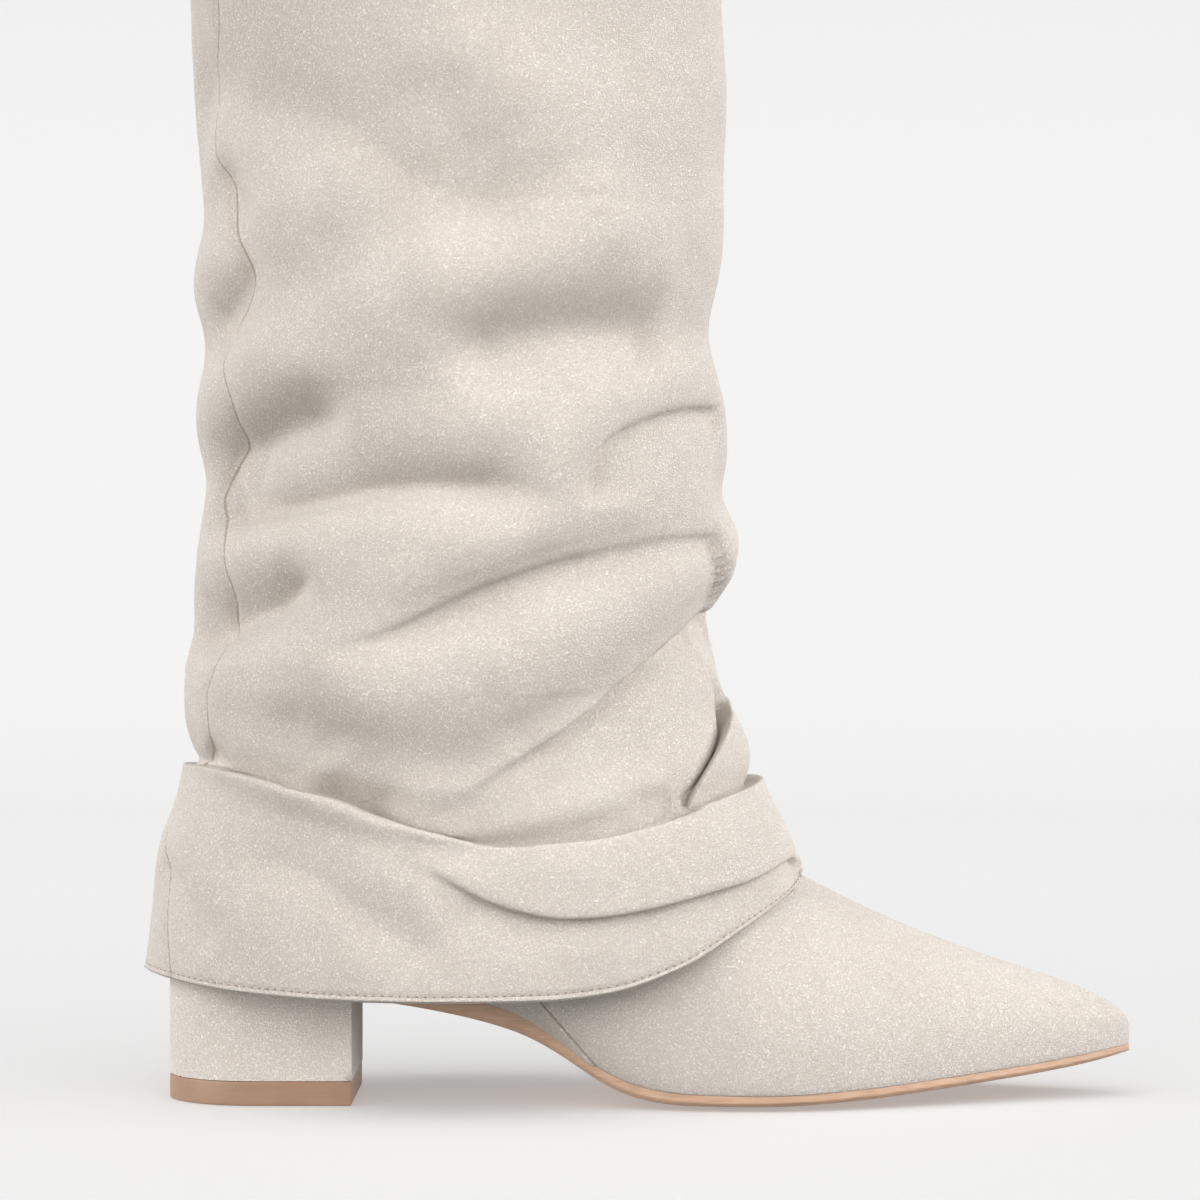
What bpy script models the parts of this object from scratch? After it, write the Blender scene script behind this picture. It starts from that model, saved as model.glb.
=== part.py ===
"""Fold-over slouch boot for the right foot: pointed toe, low block heel, and a wide shaft turned
down over the leg so that its hem hangs over the foot like a short trouser leg.

Sizes are in millimetres and become metres when a mesh is made. The shoe is drawn from the back of
its heel (along = 0) to its toe (along = SOLE_LENGTH). The finished boot has its origin on the
floor in the middle of the heel's tread, +X to the toe, +Z up and +Y to the inner side of the foot.
"""

import math

import bmesh
import bpy
from mathutils import Vector
from mathutils.bvhtree import BVHTree

MM = 0.001

# Foot of the boot
SOLE_LENGTH = 275.0
BALL_WIDTH = 82.0
HEEL_HEIGHT = 40.0
TOE_SPRING = 12.4
INSTEP_HEIGHT = 143.4
SOLE_THICKNESS = 3.0
SOLE_CROWN = 1.4
SOLE_EDGE_BEVEL = 1.1
HEEL_ROUND = 27.0
NOSE_ROUND = 8.0

# Heel under the seat
HEEL_LENGTH = 53.6
HEEL_TAPER = 1.0
TOP_PIECE_THICKNESS = 7.0
TOP_PIECE_BEVEL = 0.5

# Walls and boards
UPPER_WALL = 2.0
FOLDOVER_WALL = 1.7
INSOLE_THICKNESS = 2.2
INSOLE_TOE_GAP = 6.0
GLUE_GAP = 0.3
DRAPE_CLEARANCE = 1.9

# Leg of the boot
BOOT_HEIGHT = 420.0
SHAFT_DEPTH = 156.0
SHAFT_WIDTH = 117.0
SHAFT_BACK = 4.0
FOLDOVER_ROOM = 1.0
ANKLE_SET_IN = 15.0
ANKLE_WIDTH = 71.0
HEM_ALONG = 0.669
FOLD_DEPTH = 8.5

# How finely the curved surfaces are cut
UPPER_QUARTER_STEPS = 7
LOWER_QUARTER_STEPS = 4
HEEL_STATIONS = 11
DRAPE_COLUMNS = 34

SUEDE_COLOUR = (0.74, 0.66, 0.58, 1.0)
LINING_COLOUR = (0.68, 0.58, 0.47, 1.0)
SOLE_COLOUR = (0.42, 0.25, 0.14, 1.0)


def columns(names, rows):
    """A table as a dictionary from each column's name to its values, top row first."""
    return {name: [row[at] for row in rows] for at, name in enumerate(names.split())}


# Outline of the sole: half widths as shares of BALL_WIDTH, before heel and nose are rounded
OUTLINE = columns(
    "along lateral inner",
    [
        (0.00, 0.345, 0.345),
        (0.12, 0.345, 0.335),
        (0.20, 0.345, 0.322),
        (0.28, 0.337, 0.290),
        (0.36, 0.355, 0.268),
        (0.44, 0.410, 0.290),
        (0.52, 0.472, 0.360),
        (0.60, 0.505, 0.445),
        (0.66, 0.487, 0.495),
        (0.72, 0.430, 0.500),
        (0.78, 0.345, 0.450),
        (0.84, 0.260, 0.365),
        (0.90, 0.170, 0.265),
        (0.95, 0.100, 0.190),
        (1.00, 0.035, 0.125),
    ],
)

# Underside of the sole: lift is a share of HEEL_HEIGHT, spring of TOE_SPRING and
# edge, the height of the sole's side, of SOLE_THICKNESS
SOLE_LINE = columns(
    "along lift spring edge",
    [
        (0.000, 0.880, 0.000, 1.60),
        (0.100, 0.815, 0.000, 1.60),
        (0.195, 0.725, 0.000, 1.60),
        (0.250, 0.670, 0.000, 1.72),
        (0.295, 0.612, 0.000, 1.80),
        (0.335, 0.548, 0.000, 1.78),
        (0.376, 0.452, 0.000, 1.55),
        (0.417, 0.290, 0.000, 1.30),
        (0.457, 0.115, 0.000, 1.22),
        (0.497, 0.027, 0.000, 1.16),
        (0.537, 0.000, 0.000, 1.06),
        (0.620, 0.000, 0.000, 1.00),
        (0.700, 0.000, 0.085, 0.98),
        (0.782, 0.000, 0.234, 0.98),
        (0.867, 0.000, 0.439, 0.95),
        (0.953, 0.000, 0.750, 0.88),
        (1.000, 0.000, 1.000, 0.72),
    ],
)

# Upper from the toe to the back of the heel. Each section stands on the sole's edge at "along"
# and leans back to a point of the instep line at "top" (a share of SOLE_LENGTH) and "rise"
# (a share of INSTEP_HEIGHT). Swells are shares of the sole's half width, ridge is a share of the
# toe tip's offset to the inner side, wide is how far down the section its widest place lies, and
# steps is how many rows are cut on the way to the next section.
FOOT_SECTIONS = columns(
    "along top rise swell_lateral swell_inner ridge wide steps",
    [
        (1.000, 1.0000, 0.1325, 1.06, 1.06, 1.00, 0.62, 1),
        (0.997, 0.9970, 0.1534, 1.06, 1.06, 1.00, 0.62, 1),
        (0.989, 0.9890, 0.1712, 1.07, 1.07, 1.00, 0.63, 1),
        (0.965, 0.9650, 0.1999, 1.08, 1.07, 1.00, 0.65, 2),
        (0.920, 0.9200, 0.2326, 1.07, 1.06, 1.00, 0.68, 2),
        (0.850, 0.8500, 0.2771, 1.05, 1.04, 0.98, 0.70, 2),
        (0.760, 0.7600, 0.3425, 1.04, 1.03, 0.92, 0.72, 3),
        (0.670, 0.6700, 0.4266, 1.04, 1.04, 0.85, 0.73, 3),
        (0.600, 0.6130, 0.4900, 1.05, 1.08, 0.75, 0.72, 3),
        (0.520, 0.5650, 0.5660, 1.07, 1.20, 0.65, 0.70, 4),
        (0.440, 0.5300, 0.6360, 1.16, 1.42, 0.55, 0.66, 4),
        (0.350, 0.5020, 0.7109, 1.27, 1.56, 0.45, 0.62, 3),
        (0.260, 0.4830, 0.7742, 1.30, 1.46, 0.32, 0.60, 3),
        (0.160, 0.4690, 0.8435, 1.26, 1.28, 0.18, 0.60, 3),
        (0.080, 0.4610, 0.9030, 1.25, 1.24, 0.08, 0.60, 2),
        (0.025, 0.4560, 0.9564, 1.25, 1.23, 0.02, 0.60, 2),
        (0.000, 0.4530, 1.0000, 1.25, 1.23, 0.00, 0.60, 0),
    ],
)

# Upper from the heel to the collar. Back points: set_in is a share of ANKLE_SET_IN, back_up a
# share of the height from seat to collar. Front points: front is a share of the way from the
# ankle's front to the collar's front, front_up the same in height. Widen runs from the ankle's
# half width (0) to the collar's (1).
LEG_SECTIONS = columns(
    "row set_in back_up front front_up widen",
    [
        (0.0, 0.000, 0.000, 0.000, 0.000, 0.00),
        (1.0, -0.080, 0.026, -0.006, 0.016, 0.00),
        (2.0, -0.067, 0.058, -0.006, 0.033, 0.00),
        (3.0, 0.180, 0.092, 0.000, 0.051, 0.00),
        (4.0, 0.500, 0.129, 0.012, 0.071, 0.00),
        (5.0, 0.740, 0.168, 0.031, 0.094, 0.01),
        (6.0, 0.880, 0.213, 0.059, 0.121, 0.02),
        (7.0, 0.960, 0.263, 0.093, 0.152, 0.04),
        (8.0, 0.973, 0.321, 0.137, 0.192, 0.07),
        (9.0, 1.000, 0.395, 0.199, 0.246, 0.13),
        (10.0, 0.987, 0.479, 0.298, 0.326, 0.24),
        (11.0, 0.907, 0.579, 0.453, 0.442, 0.41),
        (12.0, 0.787, 0.684, 0.634, 0.576, 0.60),
        (13.0, 0.640, 0.789, 0.795, 0.718, 0.77),
        (14.0, 0.500, 0.889, 0.910, 0.855, 0.90),
        (15.0, 0.400, 1.000, 1.000, 1.000, 1.00),
    ],
)

# Fold lines of the turned-down shaft, from the hem up. Heights are shares of the height from the
# heel's seat to the top. Out is how far the line stands out from the plain shaft, as a share of
# the hem's flare. Puff is how far the cloth bulges between this line and the next, as a share of
# FOLD_DEPTH. Turn is how late the line leaves its level at the side to reach its ends, 1 being a
# straight line in side view. Round is 1 for an elliptic front and less for a squarer one. Steps
# is how many rows are cut up to the next line.
FOLD_LINES = columns(
    "back_up side_up front_up inner_up out_back out_side out_front puff_back puff_side puff_front turn"
    " round steps",
    [
        (-0.013, -0.027, 0.055, -0.027, 0.47, -0.18, 0.98, 0.00, 0.10, 0.05, 4.0, 0.80, 3),
        (0.040, 0.045, 0.071, 0.030, 0.38, -0.16, 0.80, 0.34, 0.15, 0.15, 2.5, 0.84, 4),
        (0.136, 0.083, 0.126, 0.105, -0.12, -0.32, 0.41, 0.15, 0.25, 0.46, 1.6, 0.92, 3),
        (0.160, 0.106, 0.187, 0.135, 0.03, -0.24, -0.03, 0.05, 0.20, 0.05, 1.4, 0.96, 2),
        (0.190, 0.142, 0.258, 0.190, 0.04, -0.26, -0.33, 0.14, 0.60, 1.05, 1.3, 1.00, 5),
        (0.237, 0.277, 0.342, 0.285, -0.13, -0.22, -0.125, 0.20, 0.50, 0.50, 1.1, 1.00, 5),
        (0.355, 0.428, 0.463, 0.395, -0.30, -0.19, -0.31, 0.56, 0.50, 0.25, 1.1, 1.00, 5),
        (0.453, 0.545, 0.584, 0.526, -0.38, -0.12, -0.06, 0.52, 0.30, 0.10, 1.2, 1.00, 4),
        (0.539, 0.640, 0.700, 0.650, -0.26, -0.05, -0.10, 0.30, 0.10, 0.05, 1.5, 1.00, 5),
        (1.000, 1.000, 1.000, 1.000, 0.00, 0.00, 0.00, 0.00, 0.00, 0.00, 2.0, 1.00, 0),
    ],
)

# Rim of the turned-down shaft: how far in from its outer face, as a share of the rim's width,
# and how far below the top, as a share of FOLDOVER_WALL
RIM = columns("inward down", [(0.00, 0.85), (0.13, 0.25), (0.42, 0.0), (0.82, 0.0), (1.0, 0.45), (1.0, 0.85)])


def slopes(keys, values):
    """Slopes at the keys that keep a curve through the values from swinging past them."""
    steps = [keys[i + 1] - keys[i] for i in range(len(keys) - 1)]
    rises = [(values[i + 1] - values[i]) / steps[i] for i in range(len(steps))]
    found = [rises[0]]
    for i in range(1, len(rises)):
        before, after = rises[i - 1], rises[i]
        flat = before * after <= 0
        found.append(0.0 if flat else 2 * before * after / (before + after))
    return found + [rises[-1]]


def follow(table, name, at):
    """The value of a table's column at a place along its first column, on a smooth curve."""
    keys = next(iter(table.values()))
    values = table[name]
    rising = keys[-1] > keys[0]
    if not rising:
        keys, values = keys[::-1], values[::-1]
    at = min(max(at, keys[0]), keys[-1])
    spot = max(i for i in range(len(keys) - 1) if keys[i] <= at)
    width = keys[spot + 1] - keys[spot]
    t = (at - keys[spot]) / width
    slope = slopes(keys, values)
    start, end = values[spot], values[spot + 1]
    ease = t * t * (3 - 2 * t)
    return (
        start + (end - start) * ease
        + slope[spot] * width * t * (1 - t) ** 2
        - slope[spot + 1] * width * t * t * (1 - t)
    )


def between(low, high, share):
    return low + (high - low) * share


def rounded(distance, length):
    """Share of the full width at a distance from a round end of the given length."""
    short = max(0.0, 1.0 - distance / length)
    return math.sqrt(max(0.0, 1.0 - short**2.2))


def bottom_height(along):
    lift = follow(SOLE_LINE, "lift", along) * HEEL_HEIGHT
    return lift + follow(SOLE_LINE, "spring", along) * TOE_SPRING


def cuts(table):
    """Places between a table's rows, as row numbers, where sections are cut."""
    return [row + i / count for row, count in enumerate(table["steps"]) for i in range(count)] + [
        len(table["steps"]) - 1
    ]


def crown(along):
    """How far the sole's lower edges stand above the flat strip along its middle."""
    return SOLE_CROWN * min(1.0, sum(half_widths(along)) / (0.6 * BALL_WIDTH))


def edge_height(along):
    """Height of the line where the upper meets the sole, straight from cut to cut."""
    for ahead, behind in zip(SOLE_CUTS, SOLE_CUTS[1:]):
        if along >= behind:
            break
    share = min(1.0, (along - behind) / (ahead - behind))
    heights = [
        bottom_height(place) + crown(place) + follow(SOLE_LINE, "edge", place) * SOLE_THICKNESS
        for place in (behind, ahead)
    ]
    return between(heights[0], heights[1], share)


def half_widths(along, inset=0.0):
    """Lateral and inner half widths of the outline, with the nose rounded but not the heel."""
    nose = rounded((1.0 - along) * SOLE_LENGTH, NOSE_ROUND)
    lateral = follow(OUTLINE, "lateral", along) * BALL_WIDTH - inset
    inner = follow(OUTLINE, "inner", along) * BALL_WIDTH - inset
    middle = (inner - lateral) / 2
    half = (inner + lateral) / 2 * nose
    return half - middle, half + middle


def outline(along, inset=0.0):
    """Y of the lateral and inner edges of the sole at a share of its length."""
    lateral, inner = half_widths(along, inset)
    heel = rounded(along * SOLE_LENGTH, HEEL_ROUND)
    middle = (inner - lateral) / 2
    half = (inner + lateral) / 2 * heel
    return middle - half, middle + half


def place_along(along, inset=0.0):
    return inset + along * (SOLE_LENGTH - 2 * inset)


def quarter_steps():
    """The (part, angle) pairs that run from a section's top down one side to its bottom."""
    upper = [("upper", math.pi / 2 * i / UPPER_QUARTER_STEPS) for i in range(UPPER_QUARTER_STEPS + 1)]
    lower = [("lower", math.pi / 2 * i / LOWER_QUARTER_STEPS) for i in range(1, LOWER_QUARTER_STEPS + 1)]
    return upper + lower


def section(top, bottom, ridge, widest, foot, wide):
    """Points of one section of the upper, from its lateral bottom over the top to its inner bottom.

    top and bottom are (x, z). widest and foot are the (lateral, inner) distances from the ridge's
    y of the widest place and of the bottom edge.
    """
    sides = []
    for side, sign in enumerate((-1, 1)):
        points = []
        for part, angle in quarter_steps():
            if part == "upper":
                down = wide * (1 - math.cos(angle))
                out = widest[side] * math.sin(angle)
            else:
                down = wide + (1 - wide) * math.sin(angle)
                out = foot[side] + (widest[side] - foot[side]) * math.cos(angle)
            points.append(Vector((
                between(top[0], bottom[0], down),
                ridge + sign * out,
                between(top[1], bottom[1], down),
            )))
        sides.append(points)
    return sides[0][::-1] + sides[1][1:]


def drawn_in(top, bottom, inset, shift):
    """A section's two ends moved towards each other by the wall, and along the boot by shift."""
    way = Vector((bottom[0] - top[0], bottom[1] - top[1])).normalized()
    upright = abs(way.y) ** 4
    return (top[0] + way.x * inset + shift * upright, top[1] + way.y * inset), way


def foot_row(at, inset):
    """One section of the upper that stands on the sole."""
    along = follow(FOOT_STEPS, "along", at)
    top = (
        follow(FOOT_STEPS, "top", at) * SOLE_LENGTH,
        follow(FOOT_STEPS, "rise", at) * INSTEP_HEIGHT,
    )
    foot_x = place_along(along, inset)
    bottom = (foot_x, edge_height(foot_x / SOLE_LENGTH))
    shift = foot_x - along * SOLE_LENGTH
    if inset:
        top = drawn_in(top, bottom, inset, shift)[0]
    lateral, inner = outline(along, inset)
    ridge = follow(FOOT_STEPS, "ridge", at) * sum(outline(1.0)) / 2
    full = half_widths(along)
    wall = inset * sum(full) / (sum(full) + 2.0)
    widest = (
        (full[0] + ridge) * follow(FOOT_STEPS, "swell_lateral", at) - wall,
        (full[1] - ridge) * follow(FOOT_STEPS, "swell_inner", at) - wall,
    )
    foot = (ridge - lateral, inner - ridge)
    widest = tuple(max(w, f) for w, f in zip(widest, foot))
    return section(top, bottom, ridge, widest, foot, follow(FOOT_STEPS, "wide", at))


def collar():
    """X of the back and front, half width and height of the upper's collar, inside the fold."""
    inward = FOLDOVER_WALL + FOLDOVER_ROOM
    flare = hem_flare()
    back = SHAFT_BACK - FOLD_LINES["out_back"][-1] * flare + inward
    front = SHAFT_BACK + SHAFT_DEPTH + FOLD_LINES["out_front"][-1] * flare - inward
    half = SHAFT_WIDTH / 2 + FOLD_LINES["out_side"][-1] * flare - inward
    return back, front, half, BOOT_HEIGHT - FOLDOVER_WALL - GLUE_GAP


def leg_row(at, inset):
    """One closed section of the upper above the heel's seat."""
    back, front, half, top_height = collar()
    ankle_front = FOOT_SECTIONS["top"][-1] * SOLE_LENGTH
    ankle_top = FOOT_SECTIONS["rise"][-1] * INSTEP_HEIGHT
    seat = edge_height(0.0)
    set_in = follow(LEG_SECTIONS, "set_in", at)
    share_up = follow(LEG_SECTIONS, "back_up", at)
    last = LEG_SECTIONS["set_in"][-1]
    bottom = (
        set_in * ANKLE_SET_IN + (back - last * ANKLE_SET_IN) * share_up,
        between(seat, top_height, share_up),
    )
    top = (
        between(ankle_front, front, follow(LEG_SECTIONS, "front", at)),
        between(ankle_top, top_height, follow(LEG_SECTIONS, "front_up", at)),
    )
    if inset:
        new_top, way = drawn_in(top, bottom, inset, 0.0)
        bottom = (bottom[0] - way.x * inset, bottom[1] - way.y * inset)
        top = new_top
    width = between(ANKLE_WIDTH / 2, half, follow(LEG_SECTIONS, "widen", at)) - inset
    wide = between(FOOT_SECTIONS["wide"][-1], 0.5, min(1.0, 3 * share_up))
    return section(top, bottom, 0.0, (width, width), (0.0, 0.0), wide)


FOOT_STEPS = {"row": list(range(len(FOOT_SECTIONS["along"]))), **FOOT_SECTIONS}
SOLE_CUTS = [follow(FOOT_STEPS, "along", at) for at in cuts(FOOT_SECTIONS)]


def upper_rows(inset):
    """All sections of the upper from the toe to the collar, and how many stand on the sole."""
    foot = [foot_row(at, inset) for at in cuts(FOOT_SECTIONS)]
    leg = [leg_row(at, inset) for at in LEG_SECTIONS["row"][1:]]
    return foot + leg, len(foot)


def add_rows(mesh, rows):
    return [[mesh.verts.new(point * MM) for point in row] for row in rows]


def add_sheet(mesh, rows, flip=False, closed=False):
    """Faces between neighbouring rows of vertices."""
    for low, high in zip(rows, rows[1:]):
        count = len(low)
        for i in range(count if closed else count - 1):
            j = (i + 1) % count
            ring = (low[i], low[j], high[j], high[i])
            mesh.faces.new(ring[::-1] if flip else ring)


def finish(name, mesh, colour, sharp=35.0):
    """An object from a bmesh, with its own material, moved so that the heel's tread is the origin."""
    bmesh.ops.remove_doubles(mesh, verts=mesh.verts, dist=1e-6)
    bmesh.ops.recalc_face_normals(mesh, faces=mesh.faces)
    bmesh.ops.translate(mesh, verts=mesh.verts, vec=Vector((-HEEL_LENGTH / 2 * MM, 0, 0)))
    data = bpy.data.meshes.new(name)
    mesh.to_mesh(data)
    mesh.free()
    data.shade_smooth()
    data.set_sharp_from_angle(angle=math.radians(sharp))
    made = bpy.data.objects.new(name, data)
    bpy.context.scene.collection.objects.link(made)
    material = bpy.data.materials.new(name)
    material.use_nodes = True
    shader = material.node_tree.nodes["Principled BSDF"]
    shader.inputs["Base Color"].default_value = colour
    shader.inputs["Roughness"].default_value = 0.9 if colour == SUEDE_COLOUR else 0.5
    shader.inputs["Metallic"].default_value = 0.0
    data.materials.append(material)
    return made


def add_bevel(made, width):
    bevel = made.modifiers.new("edge", "BEVEL")
    bevel.width = width * MM
    bevel.segments = 2
    bevel.limit_method = "ANGLE"
    bevel.angle_limit = math.radians(50)


def make_upper():
    """Vamp, quarters and inner shaft in one wall, open at the collar and along the sole's edge."""
    mesh = bmesh.new()
    outer, standing = upper_rows(0.0)
    inner, _ = upper_rows(UPPER_WALL)
    outer_rows, inner_rows = add_rows(mesh, outer), add_rows(mesh, inner)
    add_sheet(mesh, outer_rows)
    add_sheet(mesh, inner_rows, flip=True)
    for end in (0, -1):
        rim = [[o[end], i[end]] for o, i in zip(outer_rows[:standing], inner_rows)]
        add_sheet(mesh, rim, flip=end == 0)
    add_sheet(mesh, [outer_rows[-1][:-1], inner_rows[-1][:-1]], closed=True)
    bmesh.ops.remove_doubles(mesh, verts=mesh.verts, dist=1e-6)
    bmesh.ops.dissolve_degenerate(mesh, edges=mesh.edges, dist=1e-6)
    return finish("upper", mesh, SUEDE_COLOUR)


def outer_surface():
    """The upper's outer face as a search tree, for what is draped over it."""
    rows, _ = upper_rows(0.0)
    points = [point for row in rows for point in row]
    count = len(rows[0])
    faces = []
    for r in range(len(rows) - 1):
        for i in range(count - 1):
            a, b = r * count + i, (r + 1) * count + i
            faces.append((a, a + 1, b + 1, b))
    return BVHTree.FromPolygons(points, faces)


def hem_flare():
    """How far the hem stands out in front of the plain shaft."""
    return HEM_ALONG * SOLE_LENGTH - (SHAFT_BACK + SHAFT_DEPTH)


def fold_value(name, line, share, angle):
    """A fold line's value at an angle round the leg: back 0, lateral side a quarter turn, front a half."""
    end = "back" if math.cos(angle) > 0 else "front"
    side = "inner" if name == "up" and math.sin(angle) < 0 else "side"
    at_end = FOLD_LINES[f"{end}_up" if name == "up" else f"{name}_{end}"]
    at_side = FOLD_LINES[f"{side}_up" if name == "up" else f"{name}_{side}"]
    low, high = (
        between(at_side[row], at_end[row], abs(math.cos(angle)) ** FOLD_LINES["turn"][row])
        for row in (line, line + 1 if share else line)
    )
    return between(low, high, share)


def drape_point(line, share, angle, inset=0.0, down=0.0):
    """A point of the turned-down shaft between one fold line and the next."""
    flare = hem_flare()
    puff = fold_value("puff", line, 0.0, angle) * FOLD_DEPTH * math.sin(math.pi * share)
    out = fold_value("out", line, share, angle) * flare + puff - inset
    seat = edge_height(0.0)
    height = between(seat, BOOT_HEIGHT, fold_value("up", line, share, angle))
    next_line = line + 1 if share else line
    power = between(FOLD_LINES["round"][line], FOLD_LINES["round"][next_line], share)
    power = power if math.cos(angle) < 0 else 1.0
    ahead = math.copysign(abs(math.cos(angle)) ** power, -math.cos(angle))
    aside = math.copysign(abs(math.sin(angle)) ** power, -math.sin(angle))
    middle = SHAFT_BACK + SHAFT_DEPTH / 2
    return Vector((
        middle + (SHAFT_DEPTH / 2 + out) * ahead,
        (SHAFT_WIDTH / 2 + out) * aside,
        height - down,
    ))


def make_foldover_shaft():
    """The shaft's turned-down outer layer: one wall from the fold at the top to the hem."""
    angles = [2 * math.pi * i / DRAPE_COLUMNS for i in range(DRAPE_COLUMNS)]
    last = len(FOLD_LINES["steps"]) - 1
    steps = [(int(at), at % 1) for at in cuts(FOLD_LINES)[:-1]]
    outer = [[drape_point(line, share, angle) for angle in angles] for line, share in steps]
    inner = [
        [drape_point(line, share, angle, inset=FOLDOVER_WALL) for angle in angles]
        for line, share in steps
    ]
    boot = outer_surface()
    least = DRAPE_CLEARANCE
    for outer_row, inner_row in zip(outer, inner):
        for i, point in enumerate(inner_row):
            nearest, normal, _, _ = boot.find_nearest(point)
            short = least - (point - nearest).dot(normal)
            if short > 0:
                inner_row[i] = point + normal * short
                outer_row[i] = outer_row[i] + normal * short
    rim_width = FOLDOVER_WALL + FOLDOVER_ROOM + UPPER_WALL
    rim = [
        [
            drape_point(last, 0.0, angle, inset=inward * rim_width, down=down * FOLDOVER_WALL)
            for angle in angles
        ]
        for inward, down in zip(RIM["inward"], RIM["down"])
    ]
    underside = [
        [drape_point(last, 0.0, angle, inset=inward, down=FOLDOVER_WALL) for angle in angles]
        for inward in (rim_width - GLUE_GAP, FOLDOVER_WALL)
    ]
    mesh = bmesh.new()
    loop = add_rows(mesh, outer + rim + underside + inner[::-1])
    add_sheet(mesh, loop + loop[:1], closed=True)
    return finish("foldover_shaft", mesh, SUEDE_COLOUR)


def make_outsole():
    """Thin sole from the heel's breast to the toe, with bevelled edges and a flat strip to tread on."""
    start = (HEEL_LENGTH + GLUE_GAP) / SOLE_LENGTH
    rows = []
    for along in [place for place in SOLE_CUTS if place > start + 0.005] + [start]:
        lateral, inner = outline(along)
        low, high = bottom_height(along), edge_height(along) - GLUE_GAP
        corner = low + crown(along)
        bevel = min(SOLE_EDGE_BEVEL, (inner - lateral) / 8)
        flat = (inner - lateral) / 4
        side = between(corner, high, 0.4)
        profile = (
            (lateral, high),
            (lateral, side),
            (lateral + bevel, corner),
            (lateral + flat, low),
            (inner - flat, low),
            (inner - bevel, corner),
            (inner, side),
            (inner, high),
        )
        rows.append([Vector((along * SOLE_LENGTH, y, z)) for y, z in profile])
    mesh = bmesh.new()
    loops = add_rows(mesh, rows)
    add_sheet(mesh, loops, closed=True)
    mesh.faces.new(loops[-1])
    bmesh.ops.remove_doubles(mesh, verts=mesh.verts, dist=1e-6)
    bmesh.ops.dissolve_degenerate(mesh, edges=mesh.edges, dist=1e-6)
    return finish("outsole", mesh, SOLE_COLOUR)


def heel_ring(height, taper=0.0):
    """The heel's outline from its lateral breast corner round the back to its inner one."""
    lateral, inner = [], []
    for i in range(HEEL_STATIONS + 1):
        x = HEEL_LENGTH * (1 - math.sin(math.pi / 2 * i / HEEL_STATIONS))
        out, within = outline(x / SOLE_LENGTH)
        narrow = 1 - taper / (BALL_WIDTH * OUTLINE["lateral"][0])
        level = height(x) if callable(height) else height
        lateral.append(Vector((x, out * narrow, level)))
        inner.append(Vector((x, within * narrow, level)))
    return lateral + inner[-2::-1]


def make_heel_piece(name, rings, colour):
    """A solid between rings of the heel's outline, closed across by faces from side to side."""
    mesh = bmesh.new()
    loops = add_rows(mesh, rings)
    add_sheet(mesh, loops, closed=True)
    for loop, turned in ((loops[0], True), (loops[-1], False)):
        count = len(loop)
        for i in range(count // 2):
            cap = [loop[i], loop[i + 1], loop[count - 2 - i], loop[count - 1 - i]]
            corners = list(dict.fromkeys(cap))
            mesh.faces.new(corners[::-1] if turned else corners)
    return finish(name, mesh, colour)


def make_heel_block():
    """Suede-covered block: a flat breast, a round back and a top hollowed to the seat."""
    foot = heel_ring(TOP_PIECE_THICKNESS + GLUE_GAP, taper=HEEL_TAPER)
    seat = heel_ring(lambda x: edge_height(x / SOLE_LENGTH) - GLUE_GAP)
    return make_heel_piece("heel_block", [foot, seat], SUEDE_COLOUR)


def make_top_piece():
    """The hard-wearing lift under the heel."""
    low = heel_ring(0.0, taper=HEEL_TAPER)
    high = heel_ring(TOP_PIECE_THICKNESS, taper=HEEL_TAPER)
    made = make_heel_piece("top_piece", [low, high], SOLE_COLOUR)
    add_bevel(made, TOP_PIECE_BEVEL)
    return made


def make_insole():
    """The board that closes the upper's bottom from inside, from the heel to near the toe."""
    inset = UPPER_WALL + GLUE_GAP
    ends = [SOLE_LENGTH - inset - INSOLE_TOE_GAP, inset]
    middle = [place * SOLE_LENGTH for place in SOLE_CUTS]
    rows = []
    for x in ends[:1] + [x for x in middle if ends[1] + 1 < x < ends[0] - 1] + ends[1:]:
        lateral, inner = outline((x - inset) / (SOLE_LENGTH - 2 * inset), inset)
        low = edge_height(x / SOLE_LENGTH)
        high = low + INSOLE_THICKNESS
        corners = ((lateral, low), (inner, low), (inner, high), (lateral, high))
        rows.append([Vector((x, y, z)) for y, z in corners])
    mesh = bmesh.new()
    loops = add_rows(mesh, rows)
    add_sheet(mesh, loops, closed=True)
    mesh.faces.new(loops[0])
    bmesh.ops.remove_doubles(mesh, verts=mesh.verts, dist=1e-6)
    bmesh.ops.dissolve_degenerate(mesh, edges=mesh.edges, dist=1e-6)
    return finish("insole", mesh, LINING_COLOUR)


def main():
    for old in list(bpy.data.objects):
        bpy.data.objects.remove(old)
    make_outsole()
    make_heel_block()
    make_top_piece()
    make_insole()
    make_upper()
    make_foldover_shaft()


main()
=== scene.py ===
import math

import bpy
import numpy as np
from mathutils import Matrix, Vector
from mathutils import noise
from mathutils.bvhtree import BVHTree


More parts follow.
